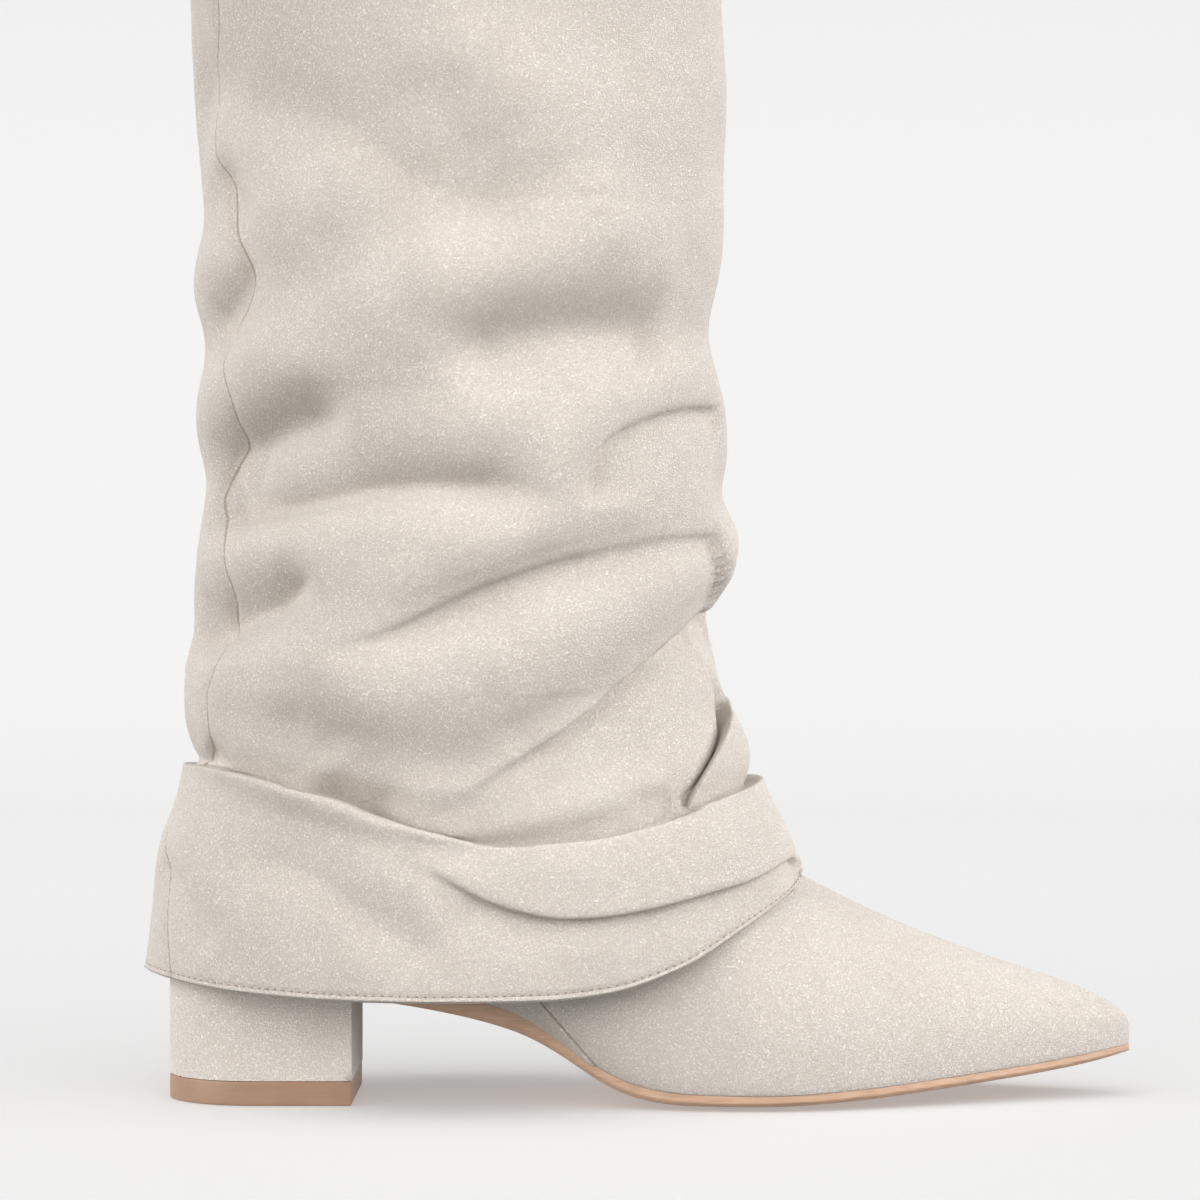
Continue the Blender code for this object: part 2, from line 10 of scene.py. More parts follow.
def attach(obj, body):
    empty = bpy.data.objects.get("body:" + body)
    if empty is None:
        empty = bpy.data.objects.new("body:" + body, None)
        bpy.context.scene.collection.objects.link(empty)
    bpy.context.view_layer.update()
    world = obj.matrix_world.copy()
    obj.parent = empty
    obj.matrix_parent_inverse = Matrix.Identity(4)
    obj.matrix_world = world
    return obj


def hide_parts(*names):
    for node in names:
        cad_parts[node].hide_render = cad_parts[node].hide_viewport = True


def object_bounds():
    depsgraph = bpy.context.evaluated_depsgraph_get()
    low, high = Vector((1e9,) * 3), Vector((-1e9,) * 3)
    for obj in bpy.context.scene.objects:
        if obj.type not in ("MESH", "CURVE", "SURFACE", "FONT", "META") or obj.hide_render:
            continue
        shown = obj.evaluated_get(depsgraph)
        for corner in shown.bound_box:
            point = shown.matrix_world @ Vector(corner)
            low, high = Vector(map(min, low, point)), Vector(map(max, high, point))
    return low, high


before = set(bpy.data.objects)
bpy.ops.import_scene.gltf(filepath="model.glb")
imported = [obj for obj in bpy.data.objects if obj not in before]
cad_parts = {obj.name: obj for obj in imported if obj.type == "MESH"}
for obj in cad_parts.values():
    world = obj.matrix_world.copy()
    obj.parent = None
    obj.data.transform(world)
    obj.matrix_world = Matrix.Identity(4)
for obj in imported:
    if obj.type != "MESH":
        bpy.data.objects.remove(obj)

MM = 0.001
cad_low, cad_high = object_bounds()

# Upper: vamp, quarters and inner shaft of pale suede, cut in panels, closed at the toe over a
# pointed last and pulled under it before the sole is cemented on. The suede is brushed, so it
# shows a short curly nap and soft clouds where the nap lies another way.
SUEDE = (0.862, 0.798, 0.735)
SUEDE_DARK = (0.600, 0.544, 0.490)
SUEDE_ROUGHNESS = 0.93
NAP_SIZE = 0.68
NAP_TURNS = 22.0
CURL_SHARE = 0.36
HAIR_SIZE = 0.25
CLOUD_SIZE = 26.0
# Painted shade: a thin darker line along each seam, standing in for the shadow at the seam's edge and in its
# groove
SEAM_PAINTED_SHADE = (0.66, 0.61, 0.56)
SEAM_WOBBLE = 0.35
SEAM_LINE = 0.20
SUEDE_SHEEN = 0.18
SUEDE_BUMP = 0.24
FINE_BUMP = 0.1
MERGE_GAP = 0.002
QUAD_ANGLE = math.radians(60)
SHARP_ANGLE = math.radians(40)


def link(tree, start, end):
    tree.links.new(start, end)


def add_noise(tree, place, size, detail, twist=0.0, roughness=0.5):
    """A noise texture whose patches are about size millimetres across."""
    node = tree.nodes.new("ShaderNodeTexNoise")
    node.inputs["Scale"].default_value = 1 / (size * MM)
    node.inputs["Detail"].default_value = detail
    node.inputs["Roughness"].default_value = roughness
    node.inputs["Distortion"].default_value = twist
    link(tree, place, node.inputs["Vector"])
    return node.outputs["Fac"]


def add_math(tree, operation, first, second):
    node = tree.nodes.new("ShaderNodeMath")
    node.operation = operation
    for socket, value in zip(node.inputs, (first, second)):
        if isinstance(value, (int, float)):
            socket.default_value = value
        else:
            link(tree, value, socket)
    return node.outputs["Value"]


def add_ramp(tree, value, stops):
    """A colour ramp over (place, colour) stops."""
    node = tree.nodes.new("ShaderNodeValToRGB")
    ramp = node.color_ramp
    while len(ramp.elements) < len(stops):
        ramp.elements.new(0.5)
    for element, (place, colour) in zip(ramp.elements, stops):
        element.position = place
        element.color = (*colour, 1.0)
    link(tree, value, node.inputs["Fac"])
    return node.outputs["Color"]


def mix_colour(tree, blend, share, first, second):
    node = tree.nodes.new("ShaderNodeMix")
    node.data_type = "RGBA"
    node.blend_type = blend
    for name, value in (("Factor", share), ("A", first), ("B", second)):
        kinds = [socket for socket in node.inputs if socket.name == name]
        socket = kinds[0] if name == "Factor" else [s for s in kinds if s.type == "RGBA"][0]
        if isinstance(value, (int, float)):
            socket.default_value = value
        elif isinstance(value, tuple):
            socket.default_value = (*value, 1.0)
        else:
            link(tree, value, socket)
    return [socket for socket in node.outputs if socket.type == "RGBA"][0]


def make_suede(name, painted_light=1.0, seam=None):
    """Brushed suede: speckled nap, soft clouds and a fine dark line of painted shade where an attribute is
    nearly 0; a factor above 1 lightens the whole colour as painted light.
    """
    material = bpy.data.materials.new(name)
    material.use_nodes = True
    tree = material.node_tree
    shader = tree.nodes["Principled BSDF"]
    place = tree.nodes.new("ShaderNodeTexCoord").outputs["Object"]
    tufts = add_noise(tree, place, NAP_SIZE, 2.0, 0.8, 0.55)
    curls = add_math(tree, "SINE", add_math(tree, "MULTIPLY", tufts, NAP_TURNS), 0.0)
    hairs = add_noise(tree, place, NAP_SIZE * HAIR_SIZE, 2.0, 1.0)
    nap = add_math(tree, "ADD", add_math(tree, "MULTIPLY", curls, CURL_SHARE), hairs)
    clouds = add_noise(tree, place, CLOUD_SIZE, 4.0, 0.6)
    # A factor above 1 lightens both tones as painted light
    dark = tuple(value * painted_light for value in SUEDE_DARK)
    light = tuple(value * painted_light for value in SUEDE)
    speckle = add_ramp(tree, nap, [(0.12, dark), (0.82, light)])
    cloud = add_ramp(tree, clouds, [(0.32, (0.955, 0.950, 0.945)), (0.68, (1.0, 1.0, 1.0))])
    colour = mix_colour(tree, "MULTIPLY", 1.0, speckle, cloud)
    # Painted shade along a seam, darkest where the attribute is near 0
    if seam:
        beside_seam = tree.nodes.new("ShaderNodeAttribute")
        beside_seam.attribute_name = seam
        gap = add_math(tree, "ABSOLUTE", beside_seam.outputs["Fac"], 0.0)
        wobble = add_math(tree, "MULTIPLY", tufts, SEAM_WOBBLE)
        ragged = add_math(tree, "SUBTRACT", gap, wobble)
        painted_seam_shade = add_ramp(tree, ragged, [(0.0, SEAM_PAINTED_SHADE), (SEAM_LINE, (1, 1, 1))])
        colour = mix_colour(tree, "MULTIPLY", 1.0, colour, painted_seam_shade)
    link(tree, colour, shader.inputs["Base Color"])
    shader.inputs["Roughness"].default_value = SUEDE_ROUGHNESS
    shader.inputs["Specular IOR Level"].default_value = 0.15
    shader.inputs["Sheen Weight"].default_value = SUEDE_SHEEN
    shader.inputs["Sheen Roughness"].default_value = 0.45
    shader.inputs["Sheen Tint"].default_value = (1.0, 0.97, 0.94, 1.0)
    bump = tree.nodes.new("ShaderNodeBump")
    bump.inputs["Strength"].default_value = 1.0
    bump.inputs["Distance"].default_value = SUEDE_BUMP * MM
    link(tree, nap, bump.inputs["Height"])
    link(tree, bump.outputs["Normal"], shader.inputs["Normal"])
    return material


def copy_of_solid(node, name, sharp, crease, levels):
    """A piece with the shape of a solid of the frame: its triangles joined and its faces rounded."""
    bpy.ops.object.select_all(action="DESELECT")
    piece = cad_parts[node].copy()
    piece.data = piece.data.copy()
    for key in list(piece.keys()):
        del piece[key]
    piece.parent = None
    piece.name = name
    piece.data.name = name
    bpy.context.scene.collection.objects.link(piece)
    bpy.context.view_layer.objects.active = piece
    piece.select_set(True)
    bpy.ops.object.mode_set(mode="EDIT")
    bpy.ops.mesh.select_all(action="SELECT")
    bpy.ops.mesh.remove_doubles(threshold=MERGE_GAP * MM)
    bpy.ops.mesh.tris_convert_to_quads(face_threshold=QUAD_ANGLE, shape_threshold=QUAD_ANGLE)
    bpy.ops.mesh.select_mode(type="EDGE")
    bpy.ops.mesh.select_all(action="DESELECT")
    bpy.ops.mesh.edges_select_sharp(sharpness=math.radians(sharp))
    bpy.ops.transform.edge_crease(value=crease)
    bpy.ops.mesh.select_mode(type="VERT")
    bpy.ops.object.mode_set(mode="OBJECT")
    smooth = piece.modifiers.new("smooth", "SUBSURF")
    smooth.levels = levels
    smooth.render_levels = levels
    bpy.ops.object.modifier_apply(modifier="smooth")
    bpy.ops.object.shade_smooth_by_angle(angle=SHARP_ANGLE)
    return piece


def dress(piece, material, node=None):
    """Gives a piece its material and its place on the boot's one body."""
    piece.data.materials.clear()
    piece.data.materials.append(material)
    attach(piece, "root")
    if node:
        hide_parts(node)


def make_smooth_leather(name, colour, roughness, grain):
    material = bpy.data.materials.new(name)
    material.use_nodes = True
    tree = material.node_tree
    shader = tree.nodes["Principled BSDF"]
    place = tree.nodes.new("ShaderNodeTexCoord").outputs["Object"]
    pores = add_noise(tree, place, grain, 4.0)
    patches = add_noise(tree, place, 18.0, 2.0)
    deep = tuple(value * 0.86 for value in colour)
    tone = add_ramp(tree, patches, [(0.3, deep), (0.7, colour)])
    link(tree, tone, shader.inputs["Base Color"])
    shader.inputs["Roughness"].default_value = roughness
    bump = tree.nodes.new("ShaderNodeBump")
    bump.inputs["Strength"].default_value = 0.3
    bump.inputs["Distance"].default_value = FINE_BUMP * MM
    link(tree, pores, bump.inputs["Height"])
    link(tree, bump.outputs["Normal"], shader.inputs["Normal"])
    return material


def add_step(piece, place, slope, height, run, low, high):
    """Raises the edge of the panel behind a slanting seam on the outer face of a piece."""
    across = Vector((math.sin(slope), 0, math.cos(slope)))
    middle = Vector((place[0], 0, place[1])) * MM
    bpy.ops.object.mode_set(mode="EDIT")
    for shift in (0.0, SEAM_GAP):
        bpy.ops.mesh.select_all(action="SELECT")
        bpy.ops.mesh.bisect(plane_co=middle - across * shift * MM, plane_no=across)
    bpy.ops.mesh.select_all(action="DESELECT")
    bpy.ops.object.mode_set(mode="OBJECT")
    walls = BVHTree.FromPolygons(
        [vertex.co for vertex in piece.data.vertices],
        [tuple(face.vertices) for face in piece.data.polygons],
    )
    moves = []
    for vertex in piece.data.vertices:
        behind = (middle - vertex.co).dot(across) / MM - SEAM_GAP + 0.01
        if behind > 0 and walls.ray_cast(vertex.co + vertex.normal * MM, vertex.normal)[0] is None:
            fade = min(1.0, max(0.0, (high - vertex.co.z / MM) / (high - low)))
            moves.append((vertex, vertex.normal * height * MM * math.exp(-behind / run) * fade))
    for vertex, move in moves:
        vertex.co += move
    # Distance from the seam, which the suede's painted seam shade reads
    distances = [(middle - vertex.co).dot(across) / MM for vertex in piece.data.vertices]
    piece.data.attributes.new("from_seam", "FLOAT", "POINT").data.foreach_set("value", distances)


def line_inside(piece, material):
    """Gives the faces that look into the boot a material of their own."""
    walls = BVHTree.FromPolygons(
        [vertex.co for vertex in piece.data.vertices],
        [tuple(face.vertices) for face in piece.data.polygons],
    )
    piece.data.materials.append(material)
    for face in piece.data.polygons:
        if face.center.z > LEG_FROM * MM:
            from_axis = Vector((face.center.x - LEG_AXIS * MM, face.center.y, 0))
            inside = face.normal.dot(from_axis) < -FACES_AXIS * MM
        else:
            inside = walls.ray_cast(face.center + face.normal * MM, face.normal)[0] is not None
        face.material_index = 1 if inside else 0


SEAM_PLACE = (79.2, 30.3)
SEAM_SLOPE = math.radians(49)
SEAM_HEIGHT = 0.7
SEAM_GAP = 0.12
SEAM_RUN = 9.0
SEAM_FADE = (45.0, 70.0)
LINING_COLOUR = (0.66, 0.57, 0.47)
LEG_FROM = 100.0
LEG_AXIS = 55.2
FACES_AXIS = 4.0

# The upper's suede carries painted shade along the vamp's seam
suede = make_suede("upper_suede", seam="from_seam")
upper = copy_of_solid("upper", "lasted_upper", 40, 0.75, 2)
add_step(upper, SEAM_PLACE, SEAM_SLOPE, SEAM_HEIGHT, SEAM_RUN, *SEAM_FADE)
dress(upper, suede, "upper")
line_inside(upper, make_smooth_leather("lining_leather", LINING_COLOUR, 0.62, 0.9))

# Insole: a board with a smooth leather sock on it, which closes the upper from inside.
INSOLE_COLOUR = (0.60, 0.49, 0.38)

insole = copy_of_solid("insole", "insole_board", 40, 0.8, 1)
dress(insole, make_smooth_leather("sock_leather", INSOLE_COLOUR, 0.6, 0.8), "insole")

# Outsole: thin tan leather from the heel's breast to the toe. Its edge is trimmed, stained and
# burnished, so that fine lines run along it.
SOLE_COLOUR = (0.560, 0.365, 0.250)
SOLE_DEEP = (0.450, 0.280, 0.182)
GLUE_GAP = 0.28


def make_sole_leather(name, light, deep, roughness):
    """Stained leather edge with fine lines along the sole, one layer over the other."""
    material = bpy.data.materials.new(name)
    material.use_nodes = True
    tree = material.node_tree
    shader = tree.nodes["Principled BSDF"]
    place = tree.nodes.new("ShaderNodeTexCoord").outputs["Object"]
    along = tree.nodes.new("ShaderNodeMapping")
    along.inputs["Scale"].default_value = (0.05, 0.35, 1.0)
    link(tree, place, along.inputs["Vector"])
    lines = add_noise(tree, along.outputs["Vector"], 0.7, 3.0)
    patches = add_noise(tree, place, 14.0, 3.0)
    tone = add_ramp(tree, lines, [(0.30, deep), (0.62, light)])
    patch = add_ramp(tree, patches, [(0.3, (0.90, 0.89, 0.88)), (0.7, (1.0, 1.0, 1.0))])
    link(tree, mix_colour(tree, "MULTIPLY", 1.0, tone, patch), shader.inputs["Base Color"])
    shader.inputs["Roughness"].default_value = roughness
    bump = tree.nodes.new("ShaderNodeBump")
    bump.inputs["Strength"].default_value = 0.25
    bump.inputs["Distance"].default_value = 0.12 * MM
    link(tree, lines, bump.inputs["Height"])
    link(tree, bump.outputs["Normal"], shader.inputs["Normal"])
    return material


def close_gap(piece, way, size):
    """Moves a piece's top (way 1) or foot (way -1) over the gap that the solids leave for glue."""
    for vertex in piece.data.vertices:
        if vertex.normal.z * way > 0.5:
            vertex.co.z += way * size * MM


outsole = copy_of_solid("outsole", "leather_outsole", 30, 1.0, 2)
close_gap(outsole, 1, GLUE_GAP)
dress(outsole, make_sole_leather("sole_leather", SOLE_COLOUR, SOLE_DEEP, 0.42), "outsole")

# Heel: a block with a flat breast, covered with the upper's suede before it is fixed, and a tan
# top piece nailed under it.
TOP_PIECE_COLOUR = (0.335, 0.202, 0.130)
TOP_PIECE_DEEP = (0.305, 0.182, 0.116)

# The heel's suede is the upper's suede made lighter: painted light, to make up for the shade the hem's
# overhang casts on the heel
heel_suede = make_suede("heel_suede", 1.13)
heel = copy_of_solid("heel_block", "covered_heel", 50, 1.0, 3)
close_gap(heel, -1, GLUE_GAP)
dress(heel, heel_suede, "heel_block")
lift_leather = make_sole_leather("top_piece_rubber", TOP_PIECE_COLOUR, TOP_PIECE_DEEP, 0.5)
lift = copy_of_solid("top_piece", "heel_top_piece", 50, 1.0, 2)
dress(lift, lift_leather, "top_piece")

# Turned-down shaft: one tube of the same suede, folded outwards at the top and let down over the
# leg. It slouches in soft creases, is caught in one broad band over the ankle, and ends in a
# turned and topstitched hem.
AXIS_X = LEG_AXIS
SHAFT_DEPTH = 156.0
SHAFT_WIDTH = 117.0
HEM_RANGE = (24.0, 80.0)
EDGE_ROUND = 0.6
HEM_ROWS = [0.0, 0.5, 0.9, 1.2, 1.5, 1.9, 2.5, 3.4, 4.5]
FAR = 400.0
CAD_COLUMNS = 34
COLUMNS = 276
OUTER_ROWS = 262
LINING_ROWS = 70
INNER_SIDE_DENSITY = 0.6
SUEDE_WALL = 1.7
LEAST_ROOM = 1.6
ROOM_EASE = 40.0
SEARCH = 30.0
TURNED_AWAY = 0.7
SHELTER_REACH = 6
SHELTER_SMOOTHING = 2.0
LINING_ENDS = (4, 10)
NO_SEAM = 50.0
ROW_SPREAD = [(0.0, 0.0), (0.36, 0.21), (0.80, 0.60), (1.0, 1.0)]
ROW_SMOOTHING = 3.0
WIDE_WAVES = (1.1, 34.0, 3.0)
SMALL_WAVES = (0.35, 11.0, 9.0)
SIDE_SWELL = 4.0
SWELL_RANGE = (92.0, 310.0)
SWELL_EASE = (35.0, 60.0)
CALM_TOP = 30.0
CALM_HEM = 9.0
OFF_SURFACE = 12.0
PATH_ROUNDS = 3
TOP = cad_high.z / MM

# Hem: how far in from the outer face and how far above the hem's edge its turned layers lie
HEM_TURN = [
    (1.7, 11.0), (2.2, 10.2), (2.5, 9.4), (2.5, 1.5), (2.3, 0.6), (1.8, 0.1), (1.2, 0.0), (0.6, 0.15),
    (0.2, 0.6),
]
HEM_TIGHT = 2.0
HEM_LEVELS = 30
# Fold at the top: how far in from the outer face and how far below the top it lies
TOP_TURN = [
    (0.15, 1.5), (0.7, 0.6), (1.7, 0.1), (3.0, 0.0), (4.3, 0.4), (5.3, 1.4), (5.9, 3.0), (6.2, 8.4),
    (6.0, 8.9), (5.5, 8.9), (5.3, 8.4), (5.0, 3.2), (4.4, 2.0), (3.2, 1.6), (2.2, 1.9), (1.75, 3.2),
]


def tree_of(node):
    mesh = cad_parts[node].data
    points = [vertex.co / MM for vertex in mesh.vertices]
    return BVHTree.FromPolygons(points, [tuple(face.vertices) for face in mesh.polygons])


def outward(angle):
    """Unit directions away from the leg's axis at angles round it, seen from above."""
    way = np.stack([-np.cos(angle) * SHAFT_DEPTH, -np.sin(angle) * SHAFT_WIDTH, 0 * angle], axis=-1)
    return way / np.linalg.norm(way, axis=-1, keepdims=True)


def smooth_along(values, width, axis, around=False):
    """Values blurred over a width counted in grid steps."""
    reach = int(3 * width) + 1
    weights = np.exp(-0.5 * (np.arange(-reach, reach + 1) / width) ** 2)
    weights /= weights.sum()
    pad = [(0, 0)] * values.ndim
    pad[axis] = (reach, reach)
    padded = np.pad(values, pad, mode="wrap" if around else "edge")
    total = np.zeros_like(values)
    for step, weight in enumerate(weights):
        part = [slice(None)] * values.ndim
        part[axis] = slice(step, step + values.shape[axis])
        total += weight * padded[tuple(part)]
    return total


def column_angles():
    """Angles of the grid's columns, closer together on the outer side, which shows most."""
    fine = np.linspace(0, 2 * np.pi, 4001)
    arc = np.hypot(np.sin(fine) * SHAFT_DEPTH, np.cos(fine) * SHAFT_WIDTH)
    outer = 0.5 + 0.5 * np.tanh(np.sin(fine) * 3 + 0.6)
    travelled = np.cumsum(arc * (INNER_SIDE_DENSITY + (1 - INNER_SIDE_DENSITY) * outer))
    travelled = (travelled - travelled[0]) / (travelled[-1] - travelled[0])
    return np.interp(np.arange(COLUMNS) / COLUMNS, travelled, fine)


def between_columns(values, angles):
    """Values known at the solid's columns, on a smooth closed curve round the leg."""
    spot = angles / (2 * np.pi) * CAD_COLUMNS
    base = np.floor(spot).astype(int)
    t = spot - base
    before, start, end, after = (values[..., (base + k) % CAD_COLUMNS] for k in (-1, 0, 1, 2))
    bend = 2 * before - 5 * start + 4 * end - after
    return start + 0.5 * t * (end - before + t * (bend + t * (3 * (start - end) + after - before)))


def reach_at(shell, angle, height):
    """How far from the leg's axis a solid's outer face lies, or none below its edge."""
    way = Vector(outward(np.array(angle)))
    hit, _, _, distance = shell.ray_cast(Vector((AXIS_X, 0, height)) + way * FAR, -way)
    return FAR - distance if hit and distance < FAR else None


def hem_heights(shell, coarse):
    """Height of the solid's lower edge at each angle, found by halving."""
    found = []
    for angle in coarse:
        low, high = HEM_RANGE
        while high - low > 0.05:
            middle = (low + high) / 2
            low, high = (low, middle) if reach_at(shell, angle, middle) else (middle, high)
        found.append(high)
    return np.array(found)


def plain_drape(shell, coarse, hem, angles):
    """The draped tube without its creases, read off the solid with rays and rounded between them."""
    fine = np.array(HEM_ROWS) / (TOP - 2.0)
    rest = np.interp(np.linspace(0, 1, OUTER_ROWS - len(fine) + 1)[1:], *zip(*ROW_SPREAD))
    share = np.concatenate([fine, fine[-1] + (1 - fine[-1]) * rest])[:, None]
    heights = hem + EDGE_ROUND + (TOP - 2.0 - hem - EDGE_ROUND) * share
    reach = np.array([
        [reach_at(shell, angle, height) or 0.0 for angle, height in zip(coarse, row)] for row in heights
    ])
    reach = between_columns(smooth_along(reach, ROW_SMOOTHING, 0), angles)
    grid = outward(angles)[None] * reach[..., None]
    grid[..., 0] += AXIS_X
    grid[..., 2] = between_columns(heights, angles)
    return grid


def grid_normals(grid):
    """Outward unit normals of the tube's grid of rows and columns."""
    across = np.roll(grid, -1, axis=1) - np.roll(grid, 1, axis=1)
    up = np.gradient(grid, axis=0)
    normals = np.cross(across, up)
    return normals / np.maximum(np.linalg.norm(normals, axis=-1, keepdims=True), 1e-9)


INNER = "inner"
# Shape of every crease, as shares of its widths or of its lap
REACH = 3.2
RIDGE_AWAY = 1.9
RIDGE_WIDTH = 1.1
SWELL_WIDTH = 2.2
BEND_WIDTH = 0.55
SPAN_WIDTH = 2.0


class Crease:
    """One crease, given as points (along, up) in mm on a side, back to front, and its section.

    A plain crease is a valley with a rounded or a sharp bottom. One with a lap is a layer that lies
    over the cloth next to it: the layer above the line if over is positive, else the one below it.
    """

    def __init__(self, points, depth, above, below, ridge=0.0, lap=0.0, over=0.0, fade=(20, 20),
                 bottom=1.15, edge=1.1):
        self.points = points
        self.depth = depth
        self.above = above
        self.below = below
        self.ridge = ridge
        self.lap = lap
        self.over = over
        self.fade = fade
        self.bottom = bottom
        self.edge = edge


CREASES = [
    # top of the leg: two wide soft hollows and a soft rise
    Crease([(-20, 286), (-11, 283), (-5, 278.5), (9, 277), (24, 271), (31, 267), (44, 257), (59, 250),
            (69, 246), (84, 242)], 6.0, 17, 15, 1.6, fade=(8, 26), bottom=1.3),
    Crease([(53, 292), (56, 276), (60, 264), (66, 254)], 3.0, 12, 12, 0.8, fade=(16, 14), bottom=1.6),
    Crease([(90, 264), (97, 248), (103, 232)], -2.2, 9, 9, fade=(12, 12), bottom=1.6),
    # hollow beside the back seam
    Crease([(-14, 266), (-9, 255), (-4, 243), (-1, 233), (-5, 224), (-13, 216)],
           5.0, 8, 7, 0.8, fade=(12, 8)),
    # creases of the calf
    Crease([(-14, 173), (-8, 177), (-2, 183), (5, 187), (19, 191), (32, 194)],
           9.5, 9, 7, 2.4, fade=(16, 16), bottom=1.05),
    Crease([(52, 203), (59, 207), (69, 211), (85, 214), (101, 214), (114, 211)],
           6.0, 11, 9, 2.4, fade=(16, 12), bottom=1.5),
    Crease([(-14, 165), (-5, 167), (4, 168), (14, 168.5), (28, 171), (42, 172), (55, 172), (69, 172),
            (86, 168)],
           11.0, 9, 6.5, 0.5, fade=(14, 24), bottom=1.1),
    Crease([(90, 166), (90.5, 173), (92.5, 179), (98.5, 186), (108.5, 191), (120.5, 194.5), (131, 196)],
           5.8, 5, 10, 1.0, lap=0.8, over=1.2, fade=(8, 8), edge=2.6),
    Crease([(14, 124), (28, 129), (39, 133), (53, 140), (61, 144), (69, 147), (85, 152), (96, 155),
            (110, 158), (132, 160)], 9.5, 6, 14, 1.4, lap=0.8, over=1.6, fade=(40, 6), edge=3.8),
    Crease([(-20, 130), (-12, 133.5), (-5, 136.5), (4, 139), (13, 144), (19, 151)],
           9.5, 9, 6.5, 2.0, fade=(16, 12), bottom=1.05),
    # the long lap that runs down from the shin
    Crease([(49, 80), (56, 86), (64, 91), (75, 99), (86, 106), (97, 115), (103, 120), (111, 127),
            (120, 133), (132, 139)], 5.4, 6, 11, 0.8, lap=2.8, over=1.0, fade=(60, 2), edge=2.0),
    Crease([(3, 113), (14, 108), (21, 103), (24, 96)], 2.4, 9, 9, 0.8, fade=(12, 8), bottom=1.5),
    # top edge of the band, which lies over the cloth above it, all round the ankle
    Crease([(90, 83, INNER), (60, 84, INNER), (35, 87, INNER), (10, 91, INNER), (-12, 93, INNER), (-22, 94),
            (-14, 93.5), (0, 92), (14, 88), (25, 85), (33, 82), (42, 79), (55, 76), (69, 73), (85, 74),
            (96, 75), (107, 78), (121, 82), (132, 86), (142, 90), (128, 88, INNER), (108, 84, INNER),
            (90, 83, INNER)],
           7.6, 8.5, 7, 0.0, lap=3.6, over=-0.8, fade=(0, 0), edge=1.4),
    Crease([(12, 92), (18, 90), (24, 88), (31, 85.5), (38, 83), (46, 81)], 5.0, 6, 2.5, fade=(12, 12)),
    Crease([(-17, 102), (-14, 98), (-10, 95)], 2.4, 3.5, 3.5, fade=(3, 3)),
    # front pleat, which lies over the cloth beside it and runs into the band
    Crease([(121, 86), (124.5, 90), (127.5, 95), (130.5, 101), (133, 107), (134, 112), (134, 117)],
           8.0, 5, 6, 0.0, lap=3.0, over=-1.6, fade=(2, 6), edge=0.9),
    Crease([(104, 86), (112, 89), (119, 88)], 2.0, 4, 4, fade=(6, 3)),
    # lower crease of the band
    Crease([(32, 74), (39, 71), (47, 68), (55, 64), (64, 60), (72, 57), (83, 55), (96, 55), (110, 57),
            (124, 60), (138, 64), (151, 69), (160, 71), (146, 70, INNER), (124, 62, INNER), (100, 58, INNER),
            (78, 60, INNER)],
           3.8, 5, 9, 0.3, lap=2.2, over=0.7, fade=(48, 30), edge=1.5),
    Crease([(-12, 72), (0, 70), (11, 68), (20, 64), (28, 58), (36, 53), (44, 47), (53, 41)],
           3.2, 8, 9, 1.2, fade=(22, 8)),
    Crease([(-29, 69), (-24, 63), (-20, 56), (-15, 50), (-10, 43)], 2.6, 5, 7, 0.6, fade=(8, 8)),
    # inner side
    Crease([(124, 214, INNER), (100, 205, INNER), (75, 203, INNER), (50, 208, INNER), (25, 214, INNER)],
           6.5, 10, 9, 2.4, fade=(16, 22), bottom=1.4),
    Crease([(126, 164, INNER), (100, 160, INNER), (75, 158, INNER), (50, 164, INNER)],
           6.0, 7, 13, 1.4, lap=2.0, over=1.6, fade=(16, 26)),
    Crease([(70, 183, INNER), (45, 180, INNER), (20, 176, INNER), (0, 174, INNER), (-16, 172, INNER)],
           6.5, 9, 8, 2.4, fade=(18, 20)),
    Crease([(126, 138, INNER), (100, 122, INNER), (80, 112, INNER), (60, 106, INNER)],
           4.0, 6, 10, 0.8, lap=3.2, over=1.2, fade=(12, 34)),
    Crease([(50, 140, INNER), (25, 134, INNER), (5, 130, INNER), (-16, 130, INNER)],
           6.0, 9, 8, 2.4, fade=(16, 20)),
    Crease([(100, 262, INNER), (70, 254, INNER), (40, 252, INNER), (8, 246, INNER)],
           5.5, 16, 12, 1.6, fade=(20, 15), bottom=1.4),
    Crease([(60, 62, INNER), (40, 54, INNER), (25, 45, INNER)], 2.6, 8, 9, 1.0, fade=(12, 8)),
]


def spline(points, step):
    """A smooth curve through points, at about one place every step."""
    points = np.array(points, float)
    ends = [2 * points[0] - points[1], *points, 2 * points[-1] - points[-2]]
    made = []
    for before, start, end, after in zip(ends, ends[1:], ends[2:], ends[3:]):
        count = max(2, int(np.linalg.norm(end - start) / step))
        t = np.linspace(0, 1, count, endpoint=False)[:, None]
        bend = 2 * before - 5 * start + 4 * end - after
        made.append(start + 0.5 * t * (end - before + t * (bend + t * (3 * (start - end) + after - before))))
    made.append(points[-1:])
    return np.concatenate(made)


def on_surface(points, grid, base=None):
    """A smooth path through points (along, up) of a side, found on a grid and given on its base."""
    flat = grid.reshape(-1, 3)
    base = flat if base is None else base.reshape(-1, 3)
    places = []
    for along, up, *side in points:
        sign = 1 if side == [INNER] else -1
        miss = (flat[:, 0] - along) ** 2 + (flat[:, 2] - up) ** 2 + 400 * (flat[:, 1] * sign < -0.5)
        places.append(base[np.argmin(miss)])
    path = spline(places, 2.0)
    for _ in range(PATH_ROUNDS):
        path[1:-1] = 0.25 * path[:-2] + 0.5 * path[1:-1] + 0.25 * path[2:]
    return path


def ease(value):
    value = np.clip(value, 0, 1)
    return value * value * (3 - 2 * value)


